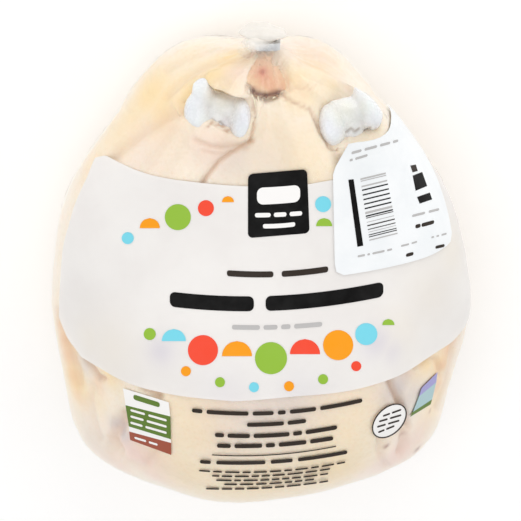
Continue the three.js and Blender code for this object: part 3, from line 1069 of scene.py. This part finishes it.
# Print. Each shape is drawn flat in the picture's own dots, then laid on the film along the view.
inks = {
    "black": rgb(8, 7, 7),
    "soft_black": rgb(54, 46, 40),
    "pale_grey": rgb(190, 188, 187),
    "white": rgb(248, 246, 244),
    "green": rgb(150, 192, 66),
    "orange": rgb(250, 160, 30),
    "red": rgb(246, 80, 56),
    "blue": rgb(124, 216, 234),
    "dark_green": rgb(100, 128, 56),
    "brown": rgb(164, 88, 68),
    "violet": rgb(168, 164, 212),
    "pale_blue": rgb(176, 204, 208),
}
lift = {"panel": 0.12, "ink": 0.3, "over": 0.42, "label": 0.05, "thick": 0.07}
# Cells in dots of the picture, a round corner's share of the thickness, and a sharp edge's angle
inkMesh = {"barStep": 2.4, "barRow": 4, "barCorner": 0.36, "fieldStep": 2.6, "fieldRow": 3, "edge": 50}
drawn = {}


# A flat grid, and its points as shares across and up
def addGrid(columns, rows):
    deselectAll()
    bpy.ops.mesh.primitive_grid_add(x_subdivisions=columns, y_subdivisions=rows, size=1)
    return bpy.context.object, readPoints(bpy.context.object) * mm + np.array([0.5, 0.5, 0])


# A grid laid on by a rule: share across, share down -> place in the picture
def addPatch(rule, columns, rows, ink, height, tree):
    piece, points = addGrid(columns, rows)
    for i, (across, up, _) in enumerate(points):
        place, normal = onFilm(*rule(across, 1 - up), tree)
        points[i] = place + normal * height
    writePoints(piece, points)
    drawn.setdefault(ink, []).append(piece)
    return piece


# Gives ink a thickness
def thicken(piece):
    applyModifier(piece, "SOLIDIFY", thickness=lift["thick"] * mm, offset=1)
    bpy.ops.object.shade_smooth_by_angle(angle=math.radians(inkMesh["edge"]))


# A curve through three values, at a share of the way
def curveAt(share, first, middle, last):
    ends = first * (1 - share) * (1 - 2 * share) + last * share * (2 * share - 1)
    return ends + 4 * middle * share * (1 - share)


# How far a round corner draws the edge in, near an end
def drawnIn(toEnd, corner):
    return 0 if toEnd >= corner else corner - math.sqrt(corner**2 - (corner - toEnd) ** 2)


# Shares that crowd towards both ends, so that round corners come out smooth
def crowd(share):
    return 0.5 - 0.5 * math.cos(math.pi * share)


# A line of words as plain bars with round corners, on a baseline that sags or climbs
def addWords(left, right, downs, thick, words, gap, ink, height=lift["ink"], tree=filmTree):
    total = sum(words) + gap * (len(words) - 1)
    corner = thick * inkMesh["barCorner"]
    at = 0
    for word in words:
        start = left + (right - left) * at / total
        length = (right - left) * word / total
        at += word + gap

        def rule(share, drop):
            share = crowd(share)
            half = thick / 2 - drawnIn(min(share, 1 - share) * length, corner)
            across = start + length * share
            down = curveAt((across - left) / (right - left), *downs)
            return across, down + (drop * 2 - 1) * half

        columns = max(6, round(length / inkMesh["barStep"]))
        addPatch(rule, columns, max(1, round(thick / inkMesh["barRow"])), ink, height, tree)


# A field between four corners, given clockwise from the top left
def addField(corners, ink, height=lift["ink"], tree=filmTree, corner=0):
    (ax, ay), (bx, by), (cx, cy), (dx, dy) = corners
    length = math.hypot(bx - ax, by - ay)
    depth = math.hypot(dx - ax, dy - ay)

    def rule(share, drop):
        share = crowd(share) if corner else share
        top = (ax + (bx - ax) * share, ay + (by - ay) * share)
        low = (dx + (cx - dx) * share, dy + (cy - dy) * share)
        drop = 0.5 + (drop - 0.5) * (1 - 2 * drawnIn(min(share, 1 - share) * length, corner) / depth)
        return top[0] + (low[0] - top[0]) * drop, top[1] + (low[1] - top[1]) * drop

    columns = max(2, round(length / inkMesh["fieldStep"]))
    addPatch(rule, columns, max(1, round(depth / inkMesh["fieldRow"])), ink, height, tree)


# A spot beside a middle, in a frame that is turned
def turned(across, down, turn, u, v):
    cos, sin = math.cos(math.radians(turn)), math.sin(math.radians(turn))
    return across + u * cos - v * sin, down + u * sin + v * cos


# A disc, an oval or, with a share under 1, a disc with a flat side
def addDisc(across, down, radii, turn, ink, share=1):
    def rule(s, t):
        if share < 1:
            v = 2 * share * t - 1
            u = (2 * s - 1) * math.sqrt(max(0.0004, 1 - v * v))
        else:
            x, y = 2 * s - 1, 2 * t - 1
            u = x * math.sqrt(1 - y * y / 2)
            v = y * math.sqrt(1 - x * x / 2)
        return turned(across, down, turn, u * radii[0], v * radii[1])

    count = max(8, round(2 * max(radii) / inkMesh["barStep"]))
    addPatch(rule, count, count, ink, lift["ink"], filmTree)


def addRing(across, down, radii, turn, wide, ink, height):
    def rule(s, t):
        angle = 2 * math.pi * s
        u, v = (radii[0] - wide * t) * math.cos(angle), (radii[1] - wide * t) * math.sin(angle)
        return turned(across, down, turn, u, v)

    workOn(addPatch(rule, 60, 1, ink, height, filmTree))
    bpy.ops.object.mode_set(mode="EDIT")
    bpy.ops.mesh.select_all(action="SELECT")
    bpy.ops.mesh.remove_doubles(threshold=0.00002)
    bpy.ops.object.mode_set(mode="OBJECT")


# Panel: a translucent white band round the bag, laid on along rays from a line inside it
panel = {
    "line": 45,  # height of that line, which runs along Y
    "outside": 200,  # where the rays start, away from the line
    "columns": 150,
    "rows": 54,
    "ends": (-78, 94),  # degrees from straight up, left and right
    "top": [(-78, 49.5), (-74, 53), (-66, 54), (-58, 54.5), (-20, 53), (20, 52), (45, 55), (94, 57)],
    "bottom": [(-78, -26), (-74, -34), (-68, -39), (-58, -38), (-35, -39), (-10, -41.5), (15, -39),
               (40, -37), (75, -36), (94, -28)],
    # Degrees further left, at each Y
    "leftSpread": [(-40, 1.5), (-10, 1.8), (20, 1.5), (42, 5), (52, 9.6)],
    "spreadOver": 0.15,
    "warm": [(430, 290, 16, 0.25), (452, 250, 12, 0.4), (400, 330, 12, 0.3), (110, 350, 14, 0.3),
             (90, 340, 9, 0.3)],
    # Painted shade of the skin under the band, seen through it
    "lilac_shade": [(161, 351, 5, 0.55), (376, 342, 6, 0.6), (392, 352, 5, 0.4), (300, 392, 9, 0.2),
              (225, 392, 10, 0.2)],
}


def readTable(table, at):
    places, values = zip(*table)
    return float(np.interp(at, places, values))


def makePanel():
    piece, points = addGrid(panel["columns"], panel["rows"])
    left, right = panel["ends"]
    for i, (across, up, _) in enumerate(points):
        angle = left + (right - left) * across
        low, high = readTable(panel["bottom"], angle), readTable(panel["top"], angle)
        y = low + (high - low) * up
        angle -= ramp(across, panel["spreadOver"], 0) * readTable(panel["leftSpread"], y)
        out = Vector((math.sin(math.radians(angle)), 0, math.cos(math.radians(angle))))
        start = Vector((0, y, panel["line"])) + out * panel["outside"]
        place, normal, _, _ = filmTree.ray_cast(start * mm, -out)
        points[i] = np.array(place) / mm + np.array(normal) * lift["panel"]
    writePoints(piece, points)
    thicken(piece)
    return settle(piece, "print_panel")


panelPiece = makePanel()
for name in panelLook["masks"]:
    paintSpots(panelPiece, name, panel[name])
finish(panelPiece, makeMaterial("ink_panel", panelLook))
print("panel")

# A row of bars is given by its left and right, how far down it is at the left, middle and right, its
# thickness, the lengths of its words and the gap between them, and a field by its corners.

# A dark plate with pale bars
darkPlate = {
    "corners": [(248, 174), (307, 169), (309.5, 233), (248, 238)],
    "corner": 5,
    "rows": [
        (257, 300, (196, 195, 193), 17, (1,), 0),
        (255, 302, (215, 214.5, 213), 4.4, (5, 4, 4), 1),
        (263, 295, (226, 225.6, 224), 4.4, (1,), 0),
    ],
}
addField(darkPlate["corners"], "black", corner=darkPlate["corner"])
for row in darkPlate["rows"]:
    addWords(*row, "white", lift["over"])

wordRows = [
    (227, 328, (273, 274, 269), 6, (5, 5), 0.9, "soft_black"),
    (170, 383, (299, 303, 289), 15, (5, 7), 0.7, "black"),
    (232, 322, (327, 327, 324), 4.5, (6, 3, 2, 6), 0.8, "pale_grey"),
    (192, 362, (410, 412.5, 400), 4, (2, 8, 4, 1.5, 5, 8), 0.8, "soft_black"),
    (247, 306, (424.5, 423.5, 420.5), 4, (8, 4), 0.8, "soft_black"),
    (215, 337, (434.5, 434.8, 426.8), 4, (2, 5, 8, 2, 7), 0.8, "soft_black"),
    (217, 333, (445.2, 444.6, 437.8), 4, (3, 6, 2, 6, 5), 0.8, "soft_black"),
    (212, 336, (454.4, 454.2, 445.8), 1, (1,), 0, "soft_black"),
    (200, 347, (461.2, 461.4, 451.6), 3.4, (2, 9, 4, 9), 1, "soft_black"),
]
for row in wordRows:
    addWords(*row)

# Small print, with words of random lengths
smallPrint = {
    "rows": [
        (199, 345, (470, 471, 461.6)), (212, 330, (475.2, 475, 468.2)), (216, 328, (479.6, 479, 473)),
        (224, 314, (483.8, 483, 478.6)), (206, 328, (488, 487.2, 480.4)),
    ],
    "thick": 1.5,
    "gap": 0.7,
    "wordEach": 13,
    "shortest": 2,
    "longer": 3,
}
for left, right, downs in smallPrint["rows"]:
    count = round((right - left) / smallPrint["wordEach"])
    words = [smallPrint["shortest"] + random.random() * smallPrint["longer"] for _ in range(count)]
    addWords(left, right, downs, smallPrint["thick"], words, smallPrint["gap"], "soft_black")

# Coloured rounds: a row that climbs to the dark plate, and two rows under the words.
# Place, radius, ink, and how much of the disc there is.
rounds = [
    (128, 238, 6, "blue", 1), (150, 228, 10, "orange", 0.5), (178, 217, 13, "green", 1),
    (206, 208, 8, "red", 1), (228, 202, 6, "orange", 0.5), (323, 204, 8, "blue", 1),
    (324, 226, 8, "green", 0.5), (150, 334, 6, "green", 1), (174, 341, 12, "blue", 0.5),
    (203, 350, 15, "red", 1), (237, 356, 15, "orange", 0.5), (271, 358, 16, "green", 1),
    (305, 354, 15, "red", 0.5), (338, 345, 15, "orange", 1), (366, 334, 11, "blue", 1),
    (388, 325, 6, "green", 0.5), (186, 371, 5, "orange", 1), (220, 382, 5, "green", 1),
    (254, 387, 5, "blue", 1), (289, 386, 5, "orange", 1), (323, 379, 5, "green", 1),
    (356, 366, 5, "red", 1),
]
for across, down, radius, ink, share in rounds:
    addDisc(across, down, (radius, radius), 0, ink, share)

# A block of four fields with bars in them
block = {
    "fields": [
        ([(123.5, 388), (169, 402), (170.5, 416), (126, 404.8)], "white"),
        ([(126, 404.8), (170.5, 416), (171, 438.8), (129.3, 426)], "dark_green"),
        ([(129.3, 426), (171, 438.8), (171.3, 442.4), (129.6, 431)], "white"),
        ([(129.6, 431), (171.3, 442.4), (171.4, 454.4), (130.6, 439.5)], "brown"),
    ],
    "rows": [
        (131, 167, (409.6, 414.8, 420), 2.2, (4, 5), 0.9, "white"),
        (131, 167, (415.8, 421, 426.2), 2.2, (4, 6), 0.9, "white"),
        (131, 167, (422, 427.2, 432.4), 2.2, (4, 7), 0.9, "white"),
        (134, 160, (396.5, 400.6, 404.6), 5, (1,), 0, "dark_green"),
        (135, 158, (437, 440.6, 444.2), 2, (4, 3), 0.9, "white"),
    ],
}
for corners, ink in block["fields"]:
    addField(corners, ink)
for row in block["rows"]:
    addWords(*row, lift["over"])

# A pale oval with a dark rim and climbing bars
oval = {
    "at": (388.8, 420.4),
    "radii": (20, 12.6),
    "rim": (20.6, 13.2),
    "rimWide": 1.2,
    "turn": -45,
    "firstRow": (391.5, 412.4),
    "rowStep": (-1.9, 5.4),
    "rowHalves": (9, 11, 11, 8),
    "climb": 3.2,
    "bars": (1.7, (3, 4), 0.8),
}
addDisc(*oval["at"], oval["radii"], oval["turn"], "white")
addRing(*oval["at"], oval["rim"], oval["turn"], oval["rimWide"], "soft_black", lift["over"])
for i, half in enumerate(oval["rowHalves"]):
    across, down = (first + i * step for first, step in zip(oval["firstRow"], oval["rowStep"]))
    downs = (down + oval["climb"], down, down - oval["climb"])
    addWords(across - half, across + half, downs, *oval["bars"], "soft_black", lift["over"])

# A slanting patch of three colours
slantPatch = [
    ([(421, 388), (437, 372), (435.5, 382), (418.5, 396)], "violet"),
    ([(418.5, 396), (435.5, 382), (431.5, 399), (412.5, 411.5)], "pale_blue"),
    ([(412.5, 411.5), (431.5, 399), (430, 404), (409.5, 416.5)], "dark_green"),
]
for corners, ink in slantPatch:
    addField(corners, ink)

# Price label: plain bars laid on the paper
labelPrint = {
    "post": [(348.3, 179.7), (353.6, 179.2), (363.2, 245.6), (357.4, 246.8)],
    # How far down, thickness, ink
    "stripes": [
        (0, 1.6, "pale_grey"), (2.4, 0.9, "pale_grey"), (7.5, 1.4, "pale_grey"), (11.2, 1.3, "black"),
        (16, 1.3, "black"), (20.6, 1.3, "black"), (25.2, 1.3, "black"), (29.6, 1.3, "black"),
        (33.6, 2.2, "pale_grey"), (37.2, 1.3, "black"), (39.4, 0.7, "soft_black"),
        (43.6, 0.6, "pale_grey"), (46.8, 1.1, "soft_black"), (50.8, 0.8, "soft_black"),
        (53.6, 0.5, "pale_grey"), (56.2, 0.8, "black"), (58.2, 0.8, "black"), (61.2, 1.2, "pale_grey"),
    ],
    "stripesReach": 62,
    # Where the stripes start at the top, and how far they move over their reach
    "stripesLeft": ((360.4, 178.4), (9.1, 62)),
    "stripesRight": ((385.6, 172.4), (12, 61)),
    "fields": [
        ([(410.2, 165.6), (415.6, 164.6), (417.6, 171), (412.6, 172.4)], "soft_black"),
        ([(412.6, 175.6), (422, 172), (427, 186), (415.6, 190.8)], "black"),
        ([(417, 197), (429.6, 192.6), (432, 199.4), (419.6, 203.6)], "black"),
    ],
    "rows": [
        (351.5, 398, (153, 146.8, 140.6), 2.6, (4, 5, 4, 2), 1.2, "pale_grey"),
        (349.6, 367.6, (160.4, 157.8, 155), 2.4, (1, 4), 0.8, "pale_grey"),
        (412, 439, (216, 212.6, 209.2), 2.4, (5, 4), 1.4, "pale_grey"),
        (415.4, 434, (226.6, 224.4, 221.8), 3.8, (2, 5), 0.4, "soft_black"),
        (357.6, 392, (256.4, 253, 249.2), 2, (3, 1, 5, 2), 1, "pale_grey"),
        (401, 417, (246, 244, 241.6), 1.8, (3, 2), 1, "pale_grey"),
        (406, 413.4, (255.4, 254.4, 253.4), 3.4, (2,), 1, "soft_black"),
        (431.4, 446.4, (237.4, 235.6, 233.6), 1.8, (1, 1, 2), 1, "pale_grey"),
        (435.4, 444.4, (247.4, 246.4, 245.4), 3, (4,), 1, "soft_black"),
    ],
}
labelNode = frame["nodes"]["price_label"]
labelTree = BVHTree.FromObject(labelNode, bpy.context.evaluated_depsgraph_get())


def addLabelField(corners, ink):
    addField(corners, ink, lift["label"], labelTree)


def stripeEnd(side, share):
    (across, down), (moveAcross, moveDown) = labelPrint[side]
    return across + moveAcross * share, down + moveDown * share


addLabelField(labelPrint["post"], "black")
for step, thick, ink in labelPrint["stripes"]:
    share = step / labelPrint["stripesReach"]
    left, right = stripeEnd("stripesLeft", share), stripeEnd("stripesRight", share)
    addLabelField([left, right, (right[0], right[1] + thick), (left[0], left[1] + thick)], ink)
for corners, ink in labelPrint["fields"]:
    addLabelField(corners, ink)
for row in labelPrint["rows"]:
    addWords(*row, lift["label"], labelTree)

for ink, pieces in drawn.items():
    piece = join(pieces, "print_" + ink)
    thicken(piece)
    finish(piece, inkMaterial("ink_" + ink, inks[ink]))
print("print laid on")

dress(labelNode, makeMaterial("label_paper", paperLook))
dress(frame["nodes"]["bag_clip"], makeMaterial("crimped_aluminium", clipLook))

# Stage: a plain pale floor and soft light
light = {
    "world": 0.7,
    "lamps": {
        "overhead": {"at": (-250, 200, 1250), "size": 1100, "power": 2.8},
        "tailSide": {"at": (150, 1100, 450), "size": 900, "power": 2.7},
        "sideLeft": {"at": (-1000, -150, 600), "size": 800, "power": 1},
        "sideRight": {"at": (1000, 100, 650), "size": 800, "power": 1.5},
    },
}
deselectAll()
bpy.ops.mesh.primitive_plane_add(size=8, location=(0, 0, -0.0002))
floor = settle(bpy.context.object, "floor")
floorMaterial, floorTree = newMaterial("pale_floor")
linkSurface(floorTree, addNode(floorTree, "BsdfPrincipled", {
    "Base Color": rgb(255, 255, 255), "Roughness": 0.9, "Specular IOR Level": 0.1,
    "Emission Color": rgb(255, 255, 255), "Emission Strength": 0.07,
}))
floor.data.materials.append(floorMaterial)

world = bpy.data.worlds.new("soft_world")
bpy.context.scene.world = world
world.use_nodes = True
world.node_tree.nodes["Background"].inputs["Color"].default_value = (1, 1, 1, 1)
world.node_tree.nodes["Background"].inputs["Strength"].default_value = light["world"]
for name, lamp in light["lamps"].items():
    deselectAll()
    place = Vector(lamp["at"]) * mm
    aim = Vector((0, 0, 0.05)) - place
    bpy.ops.object.light_add(type="AREA", location=place, rotation=aim.to_track_quat("-Z", "Y").to_euler())
    bpy.context.object.name = name
    bpy.context.object.data.shape = "DISK"
    bpy.context.object.data.size = lamp["size"] * mm
    bpy.context.object.data.energy = lamp["power"]
bpy.context.scene.view_settings.view_transform = "Standard"
bpy.context.scene.view_settings.look = "None"
